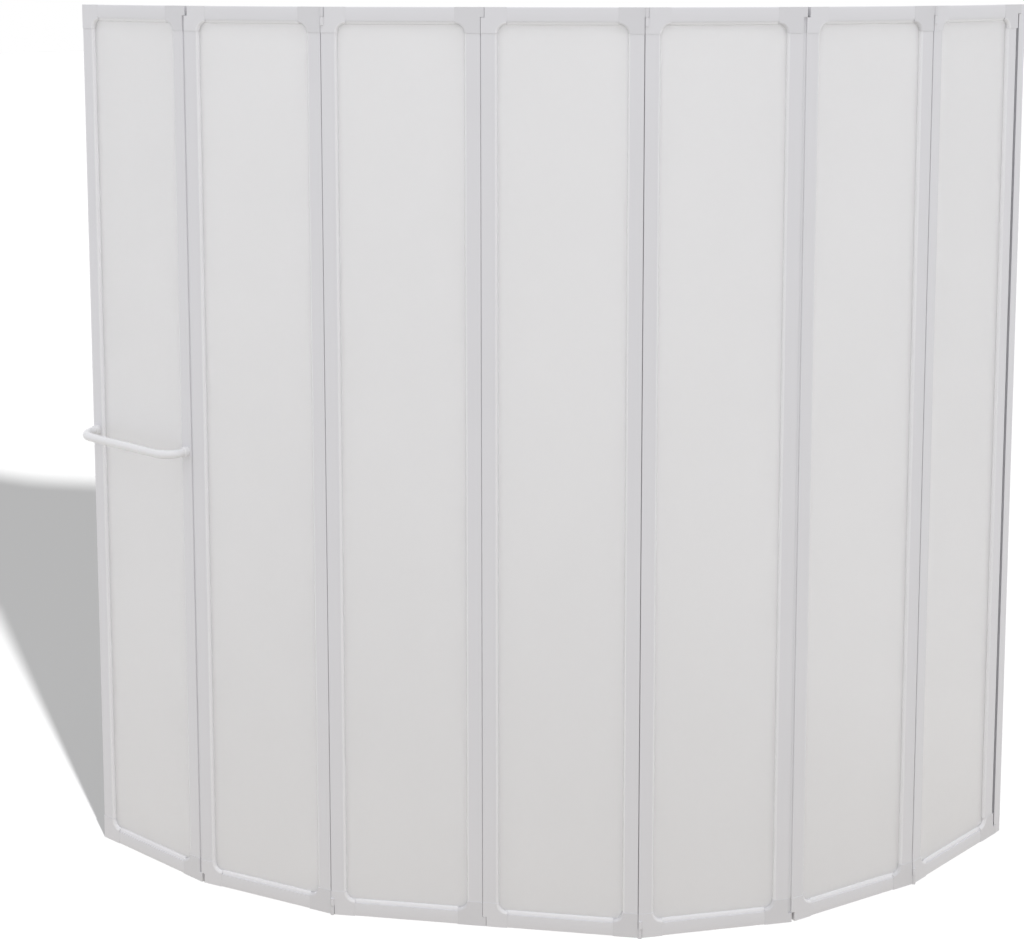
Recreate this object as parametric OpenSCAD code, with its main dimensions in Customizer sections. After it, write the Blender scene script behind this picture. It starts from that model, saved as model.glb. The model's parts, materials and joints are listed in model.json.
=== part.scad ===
// Folding shower screen of seven hinged panels that stands on a bath edge or floor,
// with a wall profile at its right end and a towel bar on its free panel.
// Panel 1 is the free panel and panel 7 hangs on the wall profile.
// The wall is the plane x = 0, the screen runs towards -X, and its front faces -Y.

/* [Overall size] */
// Height of the screen
screen_h = 1400; // [1200:10:1600]
// Width with all panels in one line, from the wall to the free edge
screen_w = 1680; // [1400:10:1960]

/* [Bends as it stands] */
// Bend between panels 1 and 2, in degrees
bend_1 = 13.7; // [0:0.1:20]
// Bend between panels 2 and 3, in degrees
bend_2 = 15.2; // [0:0.1:20]
// Bend between panels 3 and 4, in degrees
bend_3 = 0.2; // [0:0.1:20]
// Bend between panels 4 and 5, in degrees
bend_4 = 18.5; // [0:0.1:20]
// Bend between panels 5 and 6, in degrees
bend_5 = 16.9; // [0:0.1:20]
// Bend between panels 6 and 7, in degrees
bend_6 = 15; // [0:0.1:20]
// Bend between panel 7 and the wall profile, in degrees
bend_7 = 0; // [0:0.5:60]

/* [Panel frames] */
// Thickness of the stiles and rails, front to back
frame_t = 14; // [12:0.5:20]
// Width of a stile or rail without its glazing bead
frame_w = 20.6; // [18:0.1:28]
// Wall of the hollow profiles
wall_t = 1.4; // [1:0.1:2]
// Rounding of the profiles' long edges
edge_r = 1.2; // [0.4:0.1:2]
// How far stiles and rails lie back from the caps' outer edges
edge_set = 0.1; // [0.1:0.1:1.5]

/* [Panes and beads] */
// Thickness of a pane
pane_t = 3; // [2:0.5:4]
// Depth of the groove that holds the pane
groove_d = 6; // [4:0.5:7]
// Space between the pane's edge and the bottom of its groove
pane_play = 0.5; // [0.3:0.1:1.5]
// Width of the glazing beads
bead_w = 3.6; // [2:0.1:5]
// How far the beads' rounded tops lie below the frame's faces
bead_drop = 0.3; // [0.2:0.1:1.5]

/* [Corner caps] */
// Length of each leg of a corner cap
cap_leg = 38; // [34:0.5:60]
// Width of each leg of a corner cap
cap_w = 25; // [25:0.5:32]
// How far the caps stand proud of the profiles, front and back
cap_proud = 0.8; // [0.4:0.1:1.5]
// Rounding of the caps' outer edges
cap_edge_r = 1; // [0.4:0.1:1.5]
// Length of the spigots that plug the caps into the profiles
spigot_l = 12; // [8:1:20]

/* [Hinges] */
// Diameter of a hinge pin
pin_d = 3; // [2:0.1:4]
// Plastic round a hinge pin
knuckle_wall = 1.15; // [1:0.05:2]
// Height of the lug that each cap lays over its neighbour
lug_h = 14.5; // [12:0.5:20]
// Height of the knuckle that holds the pin
knuckle_h = 12; // [8:0.5:14]
// Plastic left above a pin in its lug, and below it in its knuckle
pin_cover = 3; // [2:0.5:5]
// Seam between two closed cap edges
seam_gap = 0.3; // [0.2:0.05:0.6]
// Furthest that a front hinge bends past straight, in degrees
over_bend = 22; // [20:1:26]

/* [Seam tongues] */
// Thickness of the curved tongue that closes each seam
tongue_t = 2; // [1.2:0.1:2.5]
// How far a tongue reaches past the line of the hinge pins
tongue_reach = 4; // [2:0.5:4.5]
// Space round a tongue in its slot
tongue_gap = 0.3; // [0.2:0.05:0.4]

/* [Wall profile] */
// Width of the wall profile, from the wall to its hinge edge
post_w = 17.5; // [16:0.5:30]
// Space between the wall profile's back edges and the wall
post_gap = 0.5; // [0.2:0.1:2]
// Slit between the wall profile and the caps of panel 7
slit_w = 3.8; // [0.5:0.1:5]
// Further set-back of the stile along that slit
slit_step = 3; // [0.5:0.1:6]
// Thickness of the profile's front edge beside that slit
mouth_t = 0.5; // [0.3:0.1:1]
// Wall of the channel that is screwed to the wall
channel_t = 1.3; // [1:0.1:2]
// Thickness of the channel's web against the wall
web_t = 2; // [1.5:0.1:3]
// Plastic between the channel and the notch for the hinge
channel_cover = 1.2; // [0.8:0.1:2]
// Lid of the profile's top cap over the channel
lid_t = 1.4; // [1:0.1:2]
// Thickness of the tongues that plug the profile's caps into it
plug_t = 2; // [1.5:0.1:3]
// Number of wall screw holes in the web
hole_count = 4; // [2:1:6]
// Diameter of a wall screw hole
hole_d = 5; // [3:0.5:6]
// Distance from each end of the channel to its last screw hole
hole_end = 100; // [60:10:200]
// Number of screws that hold the profile to the channel
post_screw_count = 3; // [2:1:4]
// Distance from each end of the profile to its last side screw
post_screw_end = 250; // [150:10:300]
// Diameter of a side screw
post_screw_d = 3.5; // [2.5:0.1:4]

/* [Towel bar] */
// Diameter of the towel bar's tube
bar_d = 13; // [10:0.5:14]
// Wall of the tube
bar_wall = 1.5; // [1:0.1:2]
// Distance from the frame's front to the middle of the tube
bar_reach = 37; // [32:1:80]
// Height of the bar above the floor
bar_z = 705; // [400:1:1000]
// Diameter of the sockets that hold the bar
socket_d = 16; // [15:0.5:19]
// Height of a socket
socket_h = 9; // [8:0.5:14]
// Depth to which the tube sits in its socket
seat_d = 5; // [3:0.5:6]
// Diameter of the screws that hold the sockets
bar_screw_d = 4; // [3:0.1:5]

/* [Clearances] */
// Space round a spigot, a pane or another piece that is pushed in
fit_gap = 0.1; // [0.05:0.05:0.2]
// Space round a hinge pin in its lug
running_gap = 0.08; // [0.04:0.01:0.1]
// Space between parts that move past each other
move_gap = 0.4; // [0.35:0.05:0.8]
// Space between the folded caps and the plane of their pins
face_gap = 0.2; // [0.1:0.05:0.5]

/* [Hidden] */
$fn = 48;
panel_count = 7;
bends = [0, bend_1, bend_2, bend_3, bend_4, bend_5, bend_6, bend_7];
corner_steps = 4;
// Steps of the rails' crowned faces, which rise to this part of the caps' height over the profiles
crown_steps = 6;
crown_part = 0.7;
cut = 1;
// Angle left between two bevelled edges at their furthest bend
spare_bend = 1;

pin_r = pin_d / 2;
knuckle_r = pin_r + knuckle_wall;
pitch = (screen_w - post_w + knuckle_r) / panel_count;

// Depths measured from the plane of a hinge's pins
cap_t = frame_t + 2 * cap_proud;
cap_near = face_gap;
cap_far = cap_near + cap_t;
frame_near = cap_near + cap_proud;
frame_far = frame_near + frame_t;
mid_depth = frame_near + frame_t / 2;

// Lug, knuckle and pin, measured from the end of the screen
knuckle_z = lug_h + move_gap;
knuckle_end = knuckle_z + knuckle_h;
pin_z0 = pin_cover + move_gap;
pin_z1 = knuckle_end - pin_cover;

// Curved seam tongue, centred on its hinge pin
tongue_r1 = frame_far - wall_t - 2 * tongue_gap;
tongue_r0 = tongue_r1 - tongue_t;
bevel = tan((over_bend + spare_bend) / 2);
tongue_swing = asin(tongue_reach / tongue_r0) + over_bend;

groove_x = edge_set + frame_w - groove_d;
crown = crown_part * cap_proud;
post_half = frame_t / 2;
channel_half = post_half - wall_t - fit_gap;
post_end = knuckle_end;
channel_d = post_w - 2 * knuckle_r - move_gap - channel_cover - fit_gap;
channel_top = screen_h - lid_t;
post_web_x = -channel_d - fit_gap;
mouth_taper = 2 * (wall_t - mouth_t);
lip_end = cap_leg + move_gap;

side_screw_x = -(web_t + channel_d) / 2;
screw_head_r = post_screw_d;
screw_head_h = post_screw_d / 2;
cross_w = 0.3 * post_screw_d;
cross_l = 1.2 * post_screw_d;

// A hinge with an odd number has its pins at the back, one with an even number at the front
function side(h) = h % 2 == 1 ? 1 : -1;
function slope(h) = h > 0 && side(h) < 0 ? bevel : 0;
function heading(k) = (k == panel_count ? 0 : heading(k + 1)) - bends[k];
function turned(v, a) = [v.x * cos(a) - v.y * sin(a), v.x * sin(a) + v.y * cos(a)];
function pin_at(k) = k == panel_count
  ? [knuckle_r - post_w, mid_depth]
  : pin_at(k + 1) + turned([-pitch, (side(k) - side(k + 1)) * mid_depth], heading(k + 1));

// Panel edges beside hinge h, seen from its pin: dir is 1 for a left edge and -1 for a right edge.
// Hinge 0 stands for the free edge of panel 1.
function edge_gap(h) = h == panel_count ? slit_w : seam_gap;
function edge_base(h, dir) = h == 0 ? 0 : dir > 0 ? -knuckle_r : -knuckle_r - edge_gap(h);
function stile_set(h, dir) = edge_set + (h == panel_count && dir < 0 ? slit_step : 0);
function edge_x(h, dir, depth, set) = edge_base(h, dir) + dir * (set + slope(h) * depth);
function inner_x(h, dir) = edge_base(h, dir) + dir * (stile_set(h, dir) + frame_w);

function unit(v) = v / norm(v);
function round_corner(p0, p, p1, r) =
  let (a = unit(p0 - p), b = unit(p1 - p), half = acos(a * b) / 2)
  let (c = p + unit(a + b) * r / sin(half), sweep = 180 - 2 * half)
  let (v0 = p + a * r / tan(half) - c, v1 = p + b * r / tan(half) - c)
  [for (i = [0 : corner_steps])
    let (s = i / corner_steps)
    c + (v0 * sin((1 - s) * sweep) + v1 * sin(s * sweep)) / sin(sweep)];
function rounded(pts, radii) =
  let (n = len(pts))
  [for (i = [0 : n - 1])
    each radii[i] > 0
      ? round_corner(pts[(i + n - 1) % n], pts[i], pts[(i + 1) % n], radii[i])
      : [pts[i]]];

// Points of a flat arc from p0 to p1 that rises to its left, both ends included
function crowned(p0, p1, rise) =
  let (half = norm(p1 - p0) / 2, r = (half * half + rise * rise) / (2 * rise), sweep = asin(half / r))
  let (along = unit(p1 - p0), out = [-along.y, along.x], c = (p0 + p1) / 2 + out * (rise - r))
  [for (i = [0 : crown_steps])
    let (a = sweep * (2 * i / crown_steps - 1))
    c + r * (along * sin(a) + out * cos(a))];

// Placing

module on_panel(k) {
  translate([pin_at(k).x, pin_at(k).y, 0])
    rotate(heading(k))
      translate([0, -side(k) * mid_depth, 0])
        children();
}

// From a hinge's own frame, with its pin at the origin and the panels at -Y, to the panel's
module from_hinge(h, x) {
  translate([x, side(h) * mid_depth, 0])
    mirror([0, side(h) < 0 ? 1 : 0, 0])
      children();
}

module at_left_edge(k) {
  from_hinge(k - 1, -pitch) children();
}

module at_right_edge(k) {
  from_hinge(k, 0) children();
}

module both_ends() {
  children();
  translate([0, 0, screen_h])
    mirror([0, 0, 1])
      children();
}

// Plan shapes

module ring_piece(r0, r1, x0, x1) {
  intersection() {
    difference() {
      circle(r1);
      circle(r0);
    }
    translate([x0, -r1 - cut])
      square([x1 - x0, r1 + cut - r0 * cos(tongue_swing)]);
  }
}

module tongue_2d(h, set) {
  ring_piece(tongue_r0, tongue_r1, edge_x(h, -1, tongue_r0, set + wall_t / 2), tongue_reach);
}

module slot_2d(depth) {
  ring_piece(tongue_r0 - tongue_gap, tongue_r1 + tongue_gap, -cap_w, depth);
}

module stile_2d(h, dir) {
  set = stile_set(h, dir);
  inner = inner_x(h, dir);
  chamber_end = inner - dir * (groove_d + wall_t);
  difference() {
    polygon(rounded([
      [edge_x(h, dir, frame_near, set), -frame_near],
      [edge_x(h, dir, frame_far, set), -frame_far],
      [inner, -frame_far],
      [inner, -frame_near],
    ], [edge_r, edge_r, bead_drop, bead_drop]));
    polygon([
      [edge_x(h, dir, frame_near + wall_t, set + wall_t), -frame_near - wall_t],
      [edge_x(h, dir, frame_far - wall_t, set + wall_t), -frame_far + wall_t],
      [chamber_end, -frame_far + wall_t],
      [chamber_end, -frame_near - wall_t],
    ]);
    translate([inner, -mid_depth])
      square([2 * groove_d, pane_t + 2 * fit_gap], center = true);
    if (dir > 0 && h > 0)
      slot_2d(tongue_reach);
  }
}

module cap_2d(h, dir) {
  end = edge_base(h, dir) + dir * cap_leg;
  polygon(rounded([
    [edge_x(h, dir, cap_near, 0), -cap_near],
    [edge_x(h, dir, cap_far, 0), -cap_far],
    [end, -cap_far],
    [end, -cap_near],
  ], [cap_edge_r, cap_edge_r, 0, 0]));
}

// The lug lies over the neighbour's corner and turns round the pin
module lug_2d(h) {
  root = edge_x(h, -1, cap_far, wall_t);
  circle(knuckle_r);
  polygon(rounded([
    [root, -cap_near],
    [knuckle_r - slope(h) * cap_near, -cap_near],
    [knuckle_r - slope(h) * cap_far, -cap_far],
    [root, -cap_far],
  ], [0, 0, cap_edge_r, 0]));
}

// Room for the neighbour's lug, through the whole thickness
module notch_2d(h) {
  wall = knuckle_r + move_gap;
  beyond = cap_far + cut;
  polygon([
    [-cap_w, cap_w],
    [wall, cap_w],
    [wall, 0],
    [wall + slope(h) * beyond, -beyond],
    [-cap_w, -beyond],
  ]);
}

// Section of a rail with crowned faces, its outer edge at y = 0 and the pane's groove at +Y
module rail_2d() {
  left = crowned([-frame_t / 2, 0], [-frame_t / 2, frame_w], crown);
  right = crowned([frame_t / 2, frame_w], [frame_t / 2, 0], crown);
  crests = [for (i = [2 : crown_steps]) 0];
  difference() {
    polygon(rounded(
      concat(left, right),
      concat([edge_r], crests, [bead_drop, bead_drop], crests, [edge_r])));
    translate([wall_t - frame_t / 2, wall_t])
      square([frame_t - 2 * wall_t, frame_w - groove_d - 2 * wall_t]);
    translate([0, frame_w])
      square([pane_t + 2 * fit_gap, 2 * groove_d], center = true);
  }
}

module bead_2d() {
  height = (frame_t - pane_t) / 2 - bead_drop;
  intersection() {
    scale([bead_w, height])
      circle(1);
    square([bead_w, height]);
  }
}

// Stiles and rails

module stile(h, dir) {
  length = screen_h - 2 * cap_leg;
  translate([0, 0, cap_leg]) {
    linear_extrude(length)
      stile_2d(h, dir);
    if (dir < 0 && h < panel_count)
      linear_extrude(length)
        tongue_2d(h, stile_set(h, dir));
  }
}

// Holes for the screw of a towel bar socket through both faces of a stile
module bar_screw_holes(k, x) {
  if (k == 1)
    translate([x, 0, bar_z])
      bar_screw(fit_gap);
}

module left_stile(k) {
  color("whitesmoke")
    difference() {
      at_left_edge(k) stile(k - 1, 1);
      bar_screw_holes(k, bar_left_x);
    }
}

module right_stile(k) {
  color("whitesmoke")
    difference() {
      at_right_edge(k) stile(k, -1);
      bar_screw_holes(k, bar_right_x);
    }
}

function left_edge(k) = -pitch + edge_base(k - 1, 1);
function right_edge(k) = edge_base(k, -1);

module between_caps(k) {
  translate([left_edge(k) + cap_leg, 0, 0])
    rotate([90, 0, 90])
      linear_extrude(right_edge(k) - left_edge(k) - 2 * cap_leg)
        children();
}

module rails(k) {
  color("whitesmoke")
    both_ends()
      translate([0, 0, edge_set])
        between_caps(k) rail_2d();
}

// Corner caps

module rail_spigot(h, dir) {
  z0 = edge_set + wall_t + fit_gap;
  half = frame_t / 2 - wall_t - fit_gap;
  translate([edge_base(h, dir), -mid_depth - half, z0])
    mirror([dir < 0 ? 1 : 0, 0, 0])
      translate([cap_leg - cut, 0, 0])
        cube([spigot_l + cut, 2 * half, groove_x - wall_t - fit_gap - z0]);
}

module stile_spigot(h, dir) {
  near = frame_near + wall_t + fit_gap;
  far = mid_depth - face_gap - cap_proud;
  x0 = edge_x(h, dir, far, stile_set(h, dir) + wall_t + fit_gap);
  x1 = inner_x(h, dir) - dir * (groove_d + wall_t + fit_gap);
  translate([min(x0, x1), -far, cap_leg - cut])
    cube([abs(x1 - x0), far - near, spigot_l + cut]);
}

module pane_slot(h, dir) {
  half = pane_t / 2 + fit_gap;
  translate([inner_x(h, dir) - dir * groove_d, -mid_depth - half, groove_x])
    mirror([dir < 0 ? 1 : 0, 0, 0])
      cube([cap_leg, 2 * half, cap_leg]);
}

// Right-angled block with a hollow inner corner
module cap_block(h, dir) {
  intersection() {
    linear_extrude(cap_leg)
      cap_2d(h, dir);
    translate([edge_base(h, dir), 0, 0])
      mirror([dir < 0 ? 1 : 0, 0, 0])
        rotate([90, 0, 0])
          linear_extrude(cap_far + cut)
            difference() {
              square(cap_leg);
              translate([cap_leg, cap_leg])
                circle(cap_leg - cap_w);
            }
  }
}

// Cap that carries the lug and turns about the pin
module lug_cap(h) {
  difference() {
    union() {
      cap_block(h, -1);
      linear_extrude(lug_h)
        lug_2d(h);
      if (h < panel_count)
        translate([0, 0, lug_h])
          linear_extrude(cap_leg - lug_h)
            tongue_2d(h, 0);
      rail_spigot(h, -1);
      stile_spigot(h, -1);
    }
    pane_slot(h, -1);
    translate([0, 0, pin_cover])
      cylinder(r = pin_r + running_gap, h = lug_h);
  }
}

// Notch, pin bore and tongue slot that take the neighbour's lug
module lug_room(h) {
  translate([0, 0, -cut])
    linear_extrude(knuckle_z + cut)
      notch_2d(h);
  translate([0, 0, knuckle_z - cut])
    cylinder(r = pin_r, h = pin_z1 - knuckle_z + cut);
}

module pin_knuckle() {
  translate([0, 0, knuckle_z])
    cylinder(r = knuckle_r, h = knuckle_h);
}

// Cap that holds the pin
module knuckle_cap(h) {
  swing = slope(h) > 0 ? tongue_swing : asin(tongue_reach / tongue_r0);
  difference() {
    union() {
      cap_block(h, 1);
      pin_knuckle();
      rail_spigot(h, 1);
      stile_spigot(h, 1);
    }
    pane_slot(h, 1);
    lug_room(h);
    translate([0, 0, knuckle_z - cut])
      linear_extrude(cap_leg)
        slot_2d(tongue_r1 * sin(swing) + move_gap);
  }
}

// Plain cap at the free edge
module end_cap() {
  difference() {
    union() {
      cap_block(0, 1);
      rail_spigot(0, 1);
      stile_spigot(0, 1);
    }
    pane_slot(0, 1);
  }
}

module corners(k) {
  color("gainsboro")
    both_ends() {
      at_left_edge(k) {
        if (k == 1)
          end_cap();
        else
          knuckle_cap(k - 1);
      }
      at_right_edge(k) lug_cap(k);
    }
}

// Pane and beads

module pane(k) {
  x0 = -pitch + inner_x(k - 1, 1) - groove_d + pane_play;
  x1 = inner_x(k, -1) + groove_d - pane_play;
  z0 = groove_x + pane_play;
  color("lightgray")
    translate([x0, -pane_t / 2, z0])
      cube([x1 - x0, pane_t, screen_h - 2 * z0]);
}

// Strips along the stiles and rails, on both faces of the pane
module bead(k) {
  color("white")
    for (face = [0, 1])
      mirror([0, face, 0])
        translate([0, pane_t / 2, 0]) {
          both_ends()
            translate([0, 0, edge_set + frame_w])
              between_caps(k) bead_2d();
          translate([-pitch + inner_x(k - 1, 1), 0, cap_leg])
            linear_extrude(screen_h - 2 * cap_leg)
              bead_2d();
          translate([inner_x(k, -1), 0, cap_leg])
            mirror([1, 0, 0])
              linear_extrude(screen_h - 2 * cap_leg)
                bead_2d();
        }
}

// Hinge pins, which stay in the knuckles of the panel or post to the right of the hinge

module hinge_pins(h) {
  color("silver")
    both_ends()
      translate([pin_at(h).x, pin_at(h).y, pin_z0])
        cylinder(r = pin_r, h = pin_z1 - pin_z0);
}

// Wall profile

module wall_channel() {
  color("silver")
    difference() {
      translate([-channel_d, -channel_half, 0])
        cube([channel_d, 2 * channel_half, channel_top]);
      translate([-channel_d - cut, channel_t - channel_half, -cut])
        cube([channel_d - web_t + cut, 2 * (channel_half - channel_t), screen_h + 2 * cut]);
      for (i = [0 : hole_count - 1])
        translate([-web_t - cut, 0, hole_end + i * (screen_h - 2 * hole_end) / (hole_count - 1)])
          rotate([0, 90, 0])
            cylinder(d = hole_d, h = web_t + 2 * cut);
      post_screws(fit_gap);
    }
}

// Hollow towards panel 7, with a front wall that thins out to its edge
module mouth_2d() {
  near = post_half - wall_t;
  web = post_web_x - wall_t;
  polygon([
    [-post_w - cut, near],
    [web, near],
    [web, -near],
    [mouth_taper - post_w, -near],
    [-post_w, mouth_t - post_half],
    [-post_w - cut, mouth_t - post_half],
  ]);
}

// Profile with one hollow for the channel and one towards panel 7
module post_2d() {
  difference() {
    polygon(rounded([
      [-post_w, -post_half],
      [-post_gap, -post_half],
      [-post_gap, post_half],
      [-post_w, post_half],
    ], [mouth_t / 2, 0, 0, edge_r / 2]));
    translate([post_web_x, wall_t - post_half])
      square([post_w, 2 * (post_half - wall_t)]);
    mouth_2d();
  }
}

// Lip that closes the slit at the back, between the caps of panel 7
module post_lip() {
  x0 = edge_x(panel_count, -1, frame_near, stile_set(panel_count, -1)) + knuckle_r - post_w + 2 * move_gap;
  translate([x0, post_half - wall_t, lip_end])
    cube([wall_t - post_w - x0, wall_t, screen_h - 2 * lip_end]);
}

module wall_post() {
  color("whitesmoke")
    difference() {
      union() {
        translate([0, 0, post_end])
          linear_extrude(screen_h - 2 * post_end)
            post_2d();
        post_lip();
      }
      post_screws(fit_gap);
    }
}

// Caps with a notch and a knuckle, and with a hollow that carries on the profile's own
module wall_post_caps() {
  half = post_half - wall_t - fit_gap;
  plug_x = post_w - knuckle_r + post_web_x - wall_t - fit_gap - plug_t;
  color("gainsboro")
    difference() {
      both_ends()
        translate([pin_at(panel_count).x, pin_at(panel_count).y, 0])
          difference() {
            union() {
              linear_extrude(post_end)
                polygon(rounded([
                  [-knuckle_r, -frame_near],
                  [-knuckle_r, -frame_far],
                  [post_w - knuckle_r - post_gap, -frame_far],
                  [post_w - knuckle_r - post_gap, -frame_near],
                ], [edge_r, mouth_t / 2, 0, 0]));
              pin_knuckle();
              translate([plug_x, -mid_depth - half, post_end - cut])
                cube([plug_t, 2 * half, spigot_l + cut]);
            }
            lug_room(panel_count);
            translate([0, 0, knuckle_z - cut])
              linear_extrude(knuckle_h + 2 * cut)
                intersection() {
                  translate([post_w - knuckle_r, -mid_depth])
                    mouth_2d();
                  translate([-knuckle_r - cut, -frame_far])
                    square([plug_x + knuckle_r + cut, frame_far - 2 * knuckle_r]);
                }
          }
      translate([-channel_d - fit_gap, -channel_half - fit_gap, -cut])
        cube([2 * channel_d, 2 * (channel_half + fit_gap), channel_top + fit_gap + cut]);
    }
}

// Pan-head screws through the back of the wall profile into the channel
module post_screws(gap) {
  for (i = [0 : post_screw_count - 1])
    translate([side_screw_x, 0, post_screw_end + i * (screen_h - 2 * post_screw_end) / (post_screw_count - 1)])
      rotate([-90, 0, 0]) {
        cylinder(d = post_screw_d + 2 * gap, h = post_half);
        if (gap == 0)
          translate([0, 0, post_half])
            difference() {
              cylinder(r = screw_head_r, h = screw_head_h);
              for (a = [0, 90])
                rotate(a)
                  translate([-cross_l / 2, -cross_w / 2, screw_head_h / 2])
                    cube([cross_l, cross_w, screw_head_h]);
            }
      }
}

module wall_post_screws() {
  color("silver")
    post_screws(0);
}

// Towel bar

bar_left_x = -pitch + edge_base(0, 1) + edge_set + frame_w / 2;
bar_right_x = edge_base(1, -1) - edge_set - frame_w / 2;
bar_front = -frame_t / 2;
bar_screw_l = frame_t + socket_h - seat_d;
// The tube bends from the rim of its sockets on
bar_bend_r = bar_reach - socket_h;

module bar_path(r) {
  run = bar_right_x - bar_left_x - 2 * bar_bend_r;
  for (flip = [0, 1])
    translate([(bar_left_x + bar_right_x) / 2, bar_front - bar_reach, bar_z])
      mirror([flip, 0, 0]) {
        rotate([0, 90, 0])
          cylinder(r = r, h = run / 2);
        translate([run / 2, bar_bend_r, 0]) {
          rotate(-90)
            rotate_extrude(angle = 90)
              translate([bar_bend_r, 0])
                circle(r);
          translate([bar_bend_r, 0, 0])
            rotate([-90, 0, 0])
              cylinder(r = r, h = seat_d);
        }
      }
}

module towel_bar() {
  color("white")
    on_panel(1)
      difference() {
        bar_path(bar_d / 2);
        bar_path(bar_d / 2 - bar_wall);
      }
}

module socket() {
  rotate([90, 0, 0])
    difference() {
      cylinder(d = socket_d, h = socket_h);
      translate([0, 0, socket_h - seat_d])
        cylinder(d = bar_d, h = seat_d + cut);
      translate([0, 0, -cut])
        cylinder(d = bar_screw_d, h = socket_h);
    }
}

module towel_bar_sockets() {
  color("gainsboro")
    on_panel(1)
      for (x = [bar_left_x, bar_right_x])
        translate([x, bar_front, bar_z])
          socket();
}

// Countersunk screw from the back of a stile into a socket
module bar_screw(gap) {
  rotate([90, 0, 0]) {
    translate([0, 0, -frame_t / 2])
      cylinder(d = bar_screw_d + 2 * gap, h = bar_screw_l);
    translate([0, 0, -frame_t / 2])
      cylinder(r1 = bar_screw_d + gap, r2 = bar_screw_d / 2 + gap, h = bar_screw_d / 2);
  }
}

module towel_bar_screws() {
  color("silver")
    on_panel(1)
      for (x = [bar_left_x, bar_right_x])
        translate([x, 0, bar_z])
          bar_screw(0);
}

PANELS = [1 : panel_count];

for (k = PANELS) {
  on_panel(k) left_stile(k);
  on_panel(k) right_stile(k);
  on_panel(k) rails(k);
  on_panel(k) corners(k);
  on_panel(k) pane(k);
  on_panel(k) bead(k);
  hinge_pins(k);
}
wall_channel();
wall_post();
wall_post_caps();
wall_post_screws();
towel_bar();
towel_bar_sockets();
towel_bar_screws();
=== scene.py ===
# Looks of the folding shower screen: materials, finer pieces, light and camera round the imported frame.

import json
import math

import bmesh
import bpy
from mathutils import Euler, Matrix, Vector

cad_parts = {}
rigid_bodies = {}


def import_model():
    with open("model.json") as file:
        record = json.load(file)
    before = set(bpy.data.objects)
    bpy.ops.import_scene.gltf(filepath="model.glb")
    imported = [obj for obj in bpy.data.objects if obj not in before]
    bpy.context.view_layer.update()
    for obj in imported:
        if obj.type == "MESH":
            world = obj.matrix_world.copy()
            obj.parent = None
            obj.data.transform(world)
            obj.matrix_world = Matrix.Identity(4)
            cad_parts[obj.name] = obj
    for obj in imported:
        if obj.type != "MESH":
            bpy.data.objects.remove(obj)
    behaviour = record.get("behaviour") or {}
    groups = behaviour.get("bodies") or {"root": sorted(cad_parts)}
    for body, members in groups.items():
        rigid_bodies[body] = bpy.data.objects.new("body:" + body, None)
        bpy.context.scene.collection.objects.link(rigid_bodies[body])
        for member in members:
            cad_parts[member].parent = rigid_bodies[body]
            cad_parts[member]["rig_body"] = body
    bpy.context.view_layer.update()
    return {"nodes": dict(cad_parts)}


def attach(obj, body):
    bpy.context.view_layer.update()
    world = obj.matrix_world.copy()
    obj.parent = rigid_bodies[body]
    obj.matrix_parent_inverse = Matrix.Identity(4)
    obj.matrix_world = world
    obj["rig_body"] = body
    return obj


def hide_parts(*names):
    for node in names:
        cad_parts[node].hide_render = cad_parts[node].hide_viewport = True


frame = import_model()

PANELS = range(1, 8)

# Camera, in metres, degrees and pixels of the photograph
FRAME_W = 1024
FOCAL_PX = 1689.0
SENSOR_MM = 36.0
EYE = (-2.4516, -1.4735, 1.4366)
EYE_AZIMUTH = -42.52
EYE_PITCH = 6.11
SHIFT = (-0.0079, -0.300)


def add_camera():
    data = bpy.data.cameras.new("camera")
    data.sensor_fit = "HORIZONTAL"
    data.sensor_width = SENSOR_MM
    data.lens = FOCAL_PX / FRAME_W * SENSOR_MM
    data.shift_x, data.shift_y = SHIFT
    camera = bpy.data.objects.new("camera", data)
    camera.location = EYE
    camera.rotation_euler = Euler((math.radians(90 - EYE_PITCH), 0, math.radians(EYE_AZIMUTH)))
    bpy.context.scene.collection.objects.link(camera)
    bpy.context.scene.camera = camera


# Node trees

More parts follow.
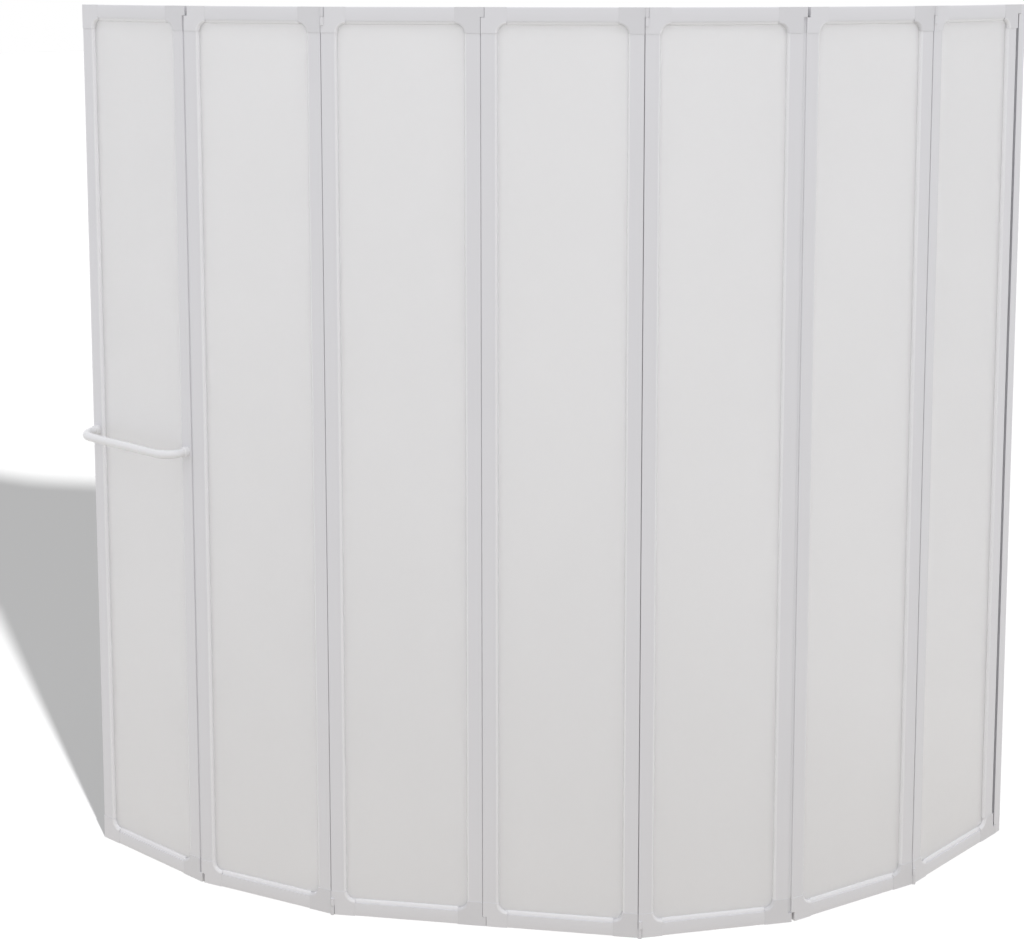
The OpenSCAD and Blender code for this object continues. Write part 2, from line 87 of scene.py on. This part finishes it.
class Nodes:
    """Short words for building a node tree."""

    def __init__(self, tree):
        self.tree = tree
        self.tree.nodes.clear()

    def add(self, kind, inputs=None, **settings):
        node = self.tree.nodes.new(kind)
        for key, value in settings.items():
            setattr(node, key, value)
        for key, value in (inputs or {}).items():
            if isinstance(value, bpy.types.NodeSocket):
                self.tree.links.new(value, node.inputs[key])
            else:
                node.inputs[key].default_value = value
        return node

    def maximum(self, a, b):
        return self.add("ShaderNodeMath", {0: a, 1: b}, operation="MAXIMUM").outputs[0]

    def noise(self, scale, detail=2.0, turn=0.0):
        """Noise with a scale for each axis, in a plan turned by an angle."""
        where = self.add("ShaderNodeTexCoord").outputs["Object"]
        turned = self.add("ShaderNodeMapping", {"Vector": where, "Rotation": (0, 0, -turn)}).outputs[0]
        scaled = self.add("ShaderNodeMapping", {"Vector": turned, "Scale": scale}).outputs[0]
        noise = self.add("ShaderNodeTexNoise", {"Vector": scaled, "Scale": 1.0, "Detail": detail})
        return noise.outputs["Fac"]

    def ramp(self, value, out_low, out_high, low=0.3, high=0.7):
        return self.add("ShaderNodeMapRange", {"Value": value, "From Min": low, "From Max": high,
                                               "To Min": out_low, "To Max": out_high}).outputs[0]

    def blend(self, kind, factor, a, b):
        """Two colours, mixed or multiplied."""
        node = self.add("ShaderNodeMix", {0: factor, 6: a, 7: b}, data_type="RGBA", blend_type=kind)
        return node.outputs[2]

    def toned(self, colour, tone):
        """A colour times a grey tone that changes over the surface."""
        tones = self.add("ShaderNodeCombineColor", {0: tone, 1: tone, 2: tone}).outputs[0]
        return self.blend("MULTIPLY", 1.0, tones, colour)

    def bump(self, height, distance, strength, under=None):
        inputs = {"Height": height, "Distance": distance, "Strength": strength}
        if under is not None:
            inputs["Normal"] = under
        return self.add("ShaderNodeBump", inputs).outputs[0]


def grey(level):
    return (level, level, level, 1)


def even(scale):
    """The same scale along all three axes."""
    return (scale, scale, scale)


def new_material(name):
    material = bpy.data.materials.new(name)
    material.use_nodes = True
    return material, Nodes(material.node_tree)


def surface(n, **inputs):
    """Principled shader with inputs named in words joined by underscores."""
    named = {key.replace("_", " ").title().replace("Ior", "IOR"): value for key, value in inputs.items()}
    shader = n.add("ShaderNodeBsdfPrincipled", named)
    n.add("ShaderNodeOutputMaterial", {"Surface": shader.outputs[0]})


# Materials, with the scales of their noise in waves for each metre

PROFILE = (0.738, 0.738, 0.758, 1)
CAP = (0.738, 0.738, 0.757, 1)
HINGE_CAP = (0.692, 0.692, 0.710, 1)
PANE = (0.93, 0.93, 0.935, 1)
# The bead is lighter than the profile: partly its own white, partly a painted highlight on its rounded
# edge.
BEAD_AND_HIGHLIGHT = (0.83, 0.83, 0.845, 1)
BAR = (0.80, 0.80, 0.81, 1)
PLASTIC_IOR = 1.53
PLASTIC_TONES = (0.985, 1.0)
PANE_TONES = (0.99, 1.0)
METAL_TONES = (0.92, 1.0)
DIE_LINES = 260
DIE_LENGTH = 3


def extruded_plastic(name, colour, die_scale, turn=0.0):
    """White extruded profile with faint die lines along its length."""
    material, n = new_material(name)
    lines = n.noise(die_scale, detail=4, turn=turn)
    clouds = n.noise(even(7))
    specks = n.noise(even(900), detail=1)
    line_bump = n.bump(lines, distance=0.00004, strength=0.5)
    surface(n, base_color=n.toned(colour, n.ramp(clouds, *PLASTIC_TONES)), ior=PLASTIC_IOR,
            roughness=n.ramp(lines, 0.30, 0.38),
            normal=n.bump(specks, distance=0.00002, strength=0.35, under=line_bump))
    return material


def moulded_plastic(name, colour, grain, rough, depth):
    """Moulded plastic with a fine grain."""
    material, n = new_material(name)
    specks = n.noise(even(grain))
    clouds = n.noise(even(9))
    surface(n, base_color=n.toned(colour, n.ramp(clouds, *PLASTIC_TONES)), ior=PLASTIC_IOR,
            roughness=n.ramp(specks, *rough), normal=n.bump(specks, distance=depth, strength=0.6))
    return material


def frosted_pane():
    """Translucent sheet with the soft pebbles of frosting."""
    material, n = new_material("pane_frosted")
    pebbles = n.noise(even(330), detail=3)
    clouds = n.noise(even(4))
    surface(n, base_color=n.toned(PANE, n.ramp(clouds, *PANE_TONES)), ior=PLASTIC_IOR,
            roughness=n.ramp(pebbles, 0.50, 0.60),
            normal=n.bump(pebbles, distance=0.00008, strength=0.5),
            transmission_weight=0.3)
    return material


def metal(name, level, rough, scale):
    """Drawn or turned metal with fine lines."""
    material, n = new_material(name)
    lines = n.noise(scale, detail=4)
    surface(n, base_color=n.toned(grey(level), n.ramp(lines, *METAL_TONES)), metallic=1.0,
            roughness=n.ramp(lines, *rough), normal=n.bump(lines, distance=0.00003, strength=0.4))
    return material


def paint(node, material):
    target = frame["nodes"][node]
    target.data.materials.clear()
    target.data.materials.append(material)


def front_of(k):
    """Unit vectors along panel k to the right and out of its front, from the largest face of its pane."""
    faces = frame["nodes"][f"panel_{k}_pane"].data.polygons
    out = max(faces, key=lambda face: face.area).normal.copy()
    if out.y > 0:
        out.negate()
    return Vector((-out.y, out.x, 0)), out


def add_materials():
    upright = extruded_plastic("profile_upright", PROFILE, (DIE_LINES, DIE_LINES, DIE_LENGTH))
    panes = frosted_pane()
    # The beads' lighter colour is partly their own white and partly a painted highlight.
    bead_and_highlight = moulded_plastic("bead_plastic_and_highlight", BEAD_AND_HIGHLIGHT, grain=1600, rough=(0.22, 0.30), depth=0.00002)
    steel = metal("steel", level=0.62, rough=(0.25, 0.40), scale=(400, 400, 60))
    channel = metal("channel_aluminium", level=0.72, rough=(0.34, 0.46), scale=(500, 500, 4))
    for k in PANELS:
        along = front_of(k)[0]
        rail = extruded_plastic(f"profile_rail_{k}", PROFILE, (DIE_LENGTH, DIE_LINES, DIE_LINES),
                                turn=math.atan2(along.y, along.x))
        paint(f"panel_{k}_left_stile", upright)
        paint(f"panel_{k}_right_stile", upright)
        paint(f"panel_{k}_rails", rail)
        paint(f"panel_{k}_pane", panes)
        paint(f"panel_{k}_bead", bead_and_highlight)
        paint(f"hinge_{k}_pins", steel)
    paint("wall_post", upright)
    paint("wall_channel", channel)
    paint("towel_bar_screws", steel)
    cap_finish = {"grain": 1400, "rough": (0.42, 0.50), "depth": 0.00004}
    cap = moulded_plastic("cap_plastic", CAP, **cap_finish)
    hinge_cap = moulded_plastic("hinge_cap_plastic", HINGE_CAP, **cap_finish)
    bar = moulded_plastic("bar_coat", BAR, grain=500, rough=(0.20, 0.28), depth=0.000015)
    return {"cap": cap, "hinge_cap": hinge_cap, "bead": bead_and_highlight, "bar": bar, "steel": steel}


# Finer pieces that take the place of CAD nodes

WELD = 0.000001
FLAT = math.radians(0.6)
CREASE = math.radians(30)
CAP_EDGE_R = 0.0004
POST_CAP_EDGE_R = 0.0002
SCREW_EDGE_R = 0.0004
OVAL_W = 0.0038
OVAL_H = 0.0056
OVAL_STEPS = 5
SQUARE = 0.05
SLANTED = 0.03


def add_piece(name, mesh, node, slot, *materials):
    """A piece that stands for a CAD node and rides on the node's body."""
    for material in materials:
        mesh.materials.append(material)
    piece = bpy.data.objects.new(name, mesh)
    bpy.context.scene.collection.objects.link(piece)
    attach(piece, frame["nodes"][node]["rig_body"])
    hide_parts(node)
    return piece


def linked_verts(start):
    """A vertex and all that hang together with it."""
    found = {start}
    front = [start]
    while front:
        for edge in front.pop().link_edges:
            for vert in edge.verts:
                if vert not in found:
                    found.add(vert)
                    front.append(vert)
    return found


def separate_solids(node):
    """Copies of a CAD node's solids, welded and with each flat face in one piece."""
    whole = bmesh.new()
    whole.from_mesh(frame["nodes"][node].data)
    bmesh.ops.remove_doubles(whole, verts=whole.verts, dist=WELD)
    bmesh.ops.dissolve_limit(whole, angle_limit=FLAT, verts=whole.verts, edges=whole.edges)
    solids = []
    done = set()
    for vert in whole.verts:
        if vert not in done:
            together = linked_verts(vert)
            done |= together
            indices = {v.index for v in together}
            solid = whole.copy()
            others = [v for v in solid.verts if v.index not in indices]
            bmesh.ops.delete(solid, geom=others, context="VERTS")
            solids.append(solid)
    whole.free()
    return solids


def middle(bm):
    return sum((v.co for v in bm.verts), Vector()) / len(bm.verts)


def soften(bm, radius, segments=2):
    """Rounds every sharp outer edge, as a mould does."""
    sharp = [e for e in bm.edges if e.is_manifold and e.is_convex and e.calc_face_angle() > CREASE]
    bmesh.ops.bevel(bm, geom=sharp, offset=radius, offset_type="OFFSET", segments=segments, profile=0.5,
                    affect="EDGES", clamp_overlap=False, loop_slide=True)
    bmesh.ops.dissolve_degenerate(bm, dist=WELD, edges=bm.edges)


def round_inner_corner(bm, along, out, mid):
    """Carries the bead's oval round the hollow inner corner of a cap, on both faces."""
    def is_corner_wall(face):
        # The corner's walls stand square to the pane and slant in its plane
        n = face.normal
        return abs(n.dot(out)) < SQUARE and abs(n.dot(along)) > SLANTED and abs(n.z) > SLANTED

    def depth(point):
        return point.dot(out) - mid

    walls = [face for face in bm.faces if is_corner_wall(face)]
    face_depth = max(abs(depth(v.co)) for face in walls for v in face.verts)
    rims = [e for face in walls for e in face.edges
            if all(abs(abs(depth(v.co)) - face_depth) < WELD for v in e.verts)]
    made = bmesh.ops.bevel(bm, geom=rims, offset=OVAL_W, offset_type="OFFSET", segments=OVAL_STEPS,
                           profile=0.5, affect="EDGES", clamp_overlap=False, loop_slide=True)
    # The oval's faces take the cap's second material, which on some caps is the bead's lighter colour as
    # a painted highlight
    for face in made["faces"]:
        face.material_index = 1
    # The rounding is as deep as it is wide until it is stretched into an oval
    for vert in {v for f in made["faces"] for v in f.verts}:
        below = face_depth - abs(depth(vert.co))
        vert.co -= out * math.copysign(below * (OVAL_H / OVAL_W - 1), depth(vert.co))


def finished_mesh(name, bm):
    """Mesh with smooth faces, and with its remaining creases kept sharp."""
    mesh = bpy.data.meshes.new(name)
    bm.to_mesh(mesh)
    bm.free()
    mesh.polygons.foreach_set("use_smooth", [True] * len(mesh.polygons))
    mesh.set_sharp_from_angle(angle=CREASE)
    return mesh


def weight_normals(piece):
    """Lets the large faces of a piece stay flat up to its rounded edges."""
    modifier = piece.modifiers.new("flat_faces", "WEIGHTED_NORMAL")
    modifier.keep_sharp = True
    modifier.weight = 100


def add_caps(materials):
    """The four moulded caps of each panel, the right-hand pair of which carries the hinge lugs."""
    for k in PANELS:
        node = f"panel_{k}_corners"
        along, out = front_of(k)
        pane = frame["nodes"][f"panel_{k}_pane"].data.vertices
        mid = sum(v.co.dot(out) for v in pane) / len(pane)
        solids = separate_solids(node)
        centre = sum((middle(s) for s in solids), Vector()) / len(solids)
        for solid in solids:
            place = middle(solid) - centre
            end = "top" if place.z > 0 else "bottom"
            hand = "right" if place.dot(along) > 0 else "left"
            round_inner_corner(solid, along, out, mid)
            soften(solid, CAP_EDGE_R)
            name = f"panel_{k}_cap_{end}_{hand}"
            material = materials["hinge_cap" if hand == "right" else "cap"]
            # Where no lug reaches over a neighbour, the corner's oval takes the bead's lighter colour: a
            # painted highlight running on round the corner
            oval = materials["bead"] if hand == "left" or k == PANELS[-1] else material
            weight_normals(add_piece(name, finished_mesh(name, solid), node, "cap_white", material, oval))


def add_post_caps(materials):
    for solid in separate_solids("wall_post_caps"):
        name = "wall_cap_top" if middle(solid).z > 0.5 else "wall_cap_bottom"
        soften(solid, POST_CAP_EDGE_R)
        mesh = finished_mesh(name, solid)
        weight_normals(add_piece(name, mesh, "wall_post_caps", "cap_white", materials["cap"]))


def add_post_screws(materials):
    for i, solid in enumerate(separate_solids("wall_post_screws")):
        name = f"wall_post_screw_{i + 1}"
        soften(solid, SCREW_EDGE_R, 3)
        add_piece(name, finished_mesh(name, solid), "wall_post_screws", "steel", materials["steel"])


# Towel bar

BAR_D = 0.013
BAR_REACH = 0.037
SOCKET_R = 0.008
SOCKET_H = 0.009
SEAT_D = 0.005
SEAT_PLAY = 0.00005
SHOULDER_R = 0.0018
LIP_R = 0.0004
BAR_SIDES = 40
BEND_STEPS = 20
SOCKET_SIDES = 56


def socket_places():
    """Where the two sockets stand on the front of panel 1, left one first."""
    along, out = front_of(1)
    centres = [middle(s) for s in separate_solids("towel_bar_sockets")]
    centres.sort(key=lambda c: c.dot(along))
    face = max(v.co.dot(out) for v in frame["nodes"]["panel_1_right_stile"].data.vertices)
    return [c + out * (face - c.dot(out)) for c in centres], along, out


def bar_path(left, right, along, out):
    """Points and directions of the tube's middle line, from one socket seat to the other."""
    bend_r = BAR_REACH - SOCKET_H
    path = [(left + out * (SOCKET_H - SEAT_D), out)]
    for foot, way in ((left, 1), (right, -1)):
        centre = foot + out * SOCKET_H + along * way * bend_r
        turn = []
        for i in range(BEND_STEPS + 1):
            a = math.radians(90) * i / BEND_STEPS
            point = centre - along * way * bend_r * math.cos(a) + out * bend_r * math.sin(a)
            turn.append((point, (out * math.cos(a) * way + along * math.sin(a))))
        path += turn if way > 0 else turn[::-1]
    path.append((right + out * (SOCKET_H - SEAT_D), -out))
    return path


def ring(bm, centre, way, radius, sides):
    """Vertices on a circle square to a level direction."""
    up = Vector((0, 0, 1))
    across = way.cross(up).normalized()
    angles = (math.tau * i / sides for i in range(sides))
    return [bm.verts.new(centre + radius * (across * math.cos(a) + up * math.sin(a))) for a in angles]


def skin(bm, rings, sides):
    """Walls between one ring and the next, and an end over the first and the last."""
    for a, b in zip(rings, rings[1:]):
        for i in range(sides):
            j = (i + 1) % sides
            bm.faces.new((a[i], a[j], b[j], b[i]))
    bm.faces.new(rings[0][::-1])
    bm.faces.new(rings[-1])
    bmesh.ops.recalc_face_normals(bm, faces=bm.faces)


def swept_tube(path, radius, sides):
    """Tube round a path that lies in a level plane, closed at both ends."""
    bm = bmesh.new()
    skin(bm, [ring(bm, point, way, radius, sides) for point, way in path], sides)
    return bm


def turned_piece(foot, out, profile, sides):
    """Solid turned about the line that stands on a foot, from points of (radius, height)."""
    bm = bmesh.new()
    skin(bm, [ring(bm, foot + out * height, out, radius, sides) for radius, height in profile], sides)
    return bm


def arc(centre, radius, first, last, steps=6):
    """Points of (radius, height) on an arc, angles in degrees."""
    for i in range(steps + 1):
        a = math.radians(first + (last - first) * i / steps)
        yield (centre[0] + radius * math.cos(a), centre[1] + radius * math.sin(a))


def socket_profile():
    """Boss with a rounded shoulder and a seat for the tube."""
    seat_r = BAR_D / 2 + SEAT_PLAY
    return [(SOCKET_R, 0.0),
            *arc((SOCKET_R - SHOULDER_R, SOCKET_H - SHOULDER_R), SHOULDER_R, 0, 80),
            *arc((seat_r + LIP_R, SOCKET_H - LIP_R), LIP_R, 100, 180, 3),
            (seat_r, SOCKET_H - SEAT_D)]


def add_towel_bar(materials):
    (left, right), along, out = socket_places()
    tube = swept_tube(bar_path(left, right, along, out), BAR_D / 2, BAR_SIDES)
    mesh = finished_mesh("towel_bar_tube", tube)
    add_piece("towel_bar_tube", mesh, "towel_bar", "bar_white", materials["bar"])
    for name, foot in (("towel_bar_socket_left", left), ("towel_bar_socket_right", right)):
        socket = turned_piece(foot, out, socket_profile(), SOCKET_SIDES)
        add_piece(name, finished_mesh(name, socket), "towel_bar_sockets", "bar_white", materials["bar"])


# Floor, world and lamps

SHADOW_GREY = 0.372
PAPER_GREY = 0.1
FLOOR_SIZE = 60.0
# The floor's glow that lights the panels is dimmer and warmer near the screen: painted shade and warm
# bounce light on their lower parts
BOUNCE_MIDDLE = (-0.55, 0.35, 0)
NEAR_R = 0.6
FAR_R = 4.2
NEAR_BOUNCE = (0.60, 0.56, 0.50, 1)
FAR_BOUNCE = (0.80, 0.80, 0.80, 1)
ROOM_LIGHT = (0.912, 0.911, 0.940, 1)
KEY_PLACE = (-1.6, -1.0, 5.0)
KEY_AIM = (-0.7, 0.4, 0.7)
KEY_W = 2.0
KEY_POWER = 28
SUN_WAY = (0.284, 0.959)
SUN_HEIGHT = math.radians(29.0)
SUN_SPREAD = math.radians(2.0)
SUN_POWER = 37


def seen_directly(n):
    path = n.add("ShaderNodeLightPath").outputs
    return n.maximum(n.maximum(path["Is Camera Ray"], path["Is Glossy Ray"]), path["Is Transmission Ray"])


def add_floor():
    """Pale floor. Seen, it is white in the sun and grey in the shadow. It gives the panels soft light."""
    mesh = bpy.data.meshes.new("floor")
    h = FLOOR_SIZE / 2
    mesh.from_pydata([(-h, -h, 0), (h, -h, 0), (h, h, 0), (-h, h, 0)], [], [(0, 1, 2, 3)])
    floor = bpy.data.objects.new("floor", mesh)
    bpy.context.scene.collection.objects.link(floor)
    material, n = new_material("floor_paper")
    glow = n.add("ShaderNodeEmission", {"Color": grey(1.0), "Strength": SHADOW_GREY})
    paper = n.add("ShaderNodeBsdfDiffuse", {"Color": grey(PAPER_GREY)})
    seen = n.add("ShaderNodeAddShader", {0: glow.outputs[0], 1: paper.outputs[0]})
    where = n.add("ShaderNodeTexCoord").outputs["Object"]
    # Dimmer and warmer glow near the screen: painted shade on the panels' lower parts
    distance = n.add("ShaderNodeVectorMath", {0: where, 1: BOUNCE_MIDDLE}, operation="DISTANCE")
    far = n.ramp(distance.outputs["Value"], 0.0, 1.0, NEAR_R, FAR_R)
    bounce = n.add("ShaderNodeEmission", {"Color": n.blend("MIX", far, NEAR_BOUNCE, FAR_BOUNCE)})
    both = n.add("ShaderNodeMixShader", {0: seen_directly(n), 1: bounce.outputs[0], 2: seen.outputs[0]})
    n.add("ShaderNodeOutputMaterial", {"Surface": both.outputs[0]})
    mesh.materials.append(material)
    return floor


def add_world():
    world = bpy.data.worlds.new("studio")
    bpy.context.scene.world = world
    world.use_nodes = True
    n = Nodes(world.node_tree)
    light = n.add("ShaderNodeBackground", {"Color": ROOM_LIGHT, "Strength": 1.0})
    white = n.add("ShaderNodeBackground", {"Color": grey(1.0), "Strength": 1.0})
    both = n.add("ShaderNodeMixShader", {0: seen_directly(n), 1: light.outputs[0], 2: white.outputs[0]})
    n.add("ShaderNodeOutputWorld", {"Surface": both.outputs[0]})


def add_lamp(name, kind, place, target, energy, **settings):
    data = bpy.data.lights.new(name, kind)
    data.energy = energy
    for key, value in settings.items():
        setattr(data, key, value)
    lamp = bpy.data.objects.new(name, data)
    lamp.location = place
    lamp.rotation_euler = (Vector(target) - lamp.location).to_track_quat("-Z", "Y").to_euler()
    bpy.context.scene.collection.objects.link(lamp)
    return lamp


def add_lamps(floor):
    add_lamp("key", "AREA", KEY_PLACE, KEY_AIM, KEY_POWER, shape="DISK", size=KEY_W)
    # The shadow lamp reaches the floor alone, so that it leaves the panels evenly lit
    level = math.cos(SUN_HEIGHT)
    start = Vector((0, 0, 3))
    way = Vector((SUN_WAY[0] * level, SUN_WAY[1] * level, -math.sin(SUN_HEIGHT)))
    sun = add_lamp("shadow_sun", "SUN", start, start + way, SUN_POWER, angle=SUN_SPREAD)
    lit = bpy.data.collections.new("lit_by_sun")
    lit.objects.link(floor)
    sun.light_linking.receiver_collection = lit


add_camera()
materials = add_materials()
add_caps(materials)
add_post_caps(materials)
add_post_screws(materials)
add_towel_bar(materials)
add_world()
add_lamps(add_floor())
bpy.context.scene.view_settings.view_transform = "Standard"
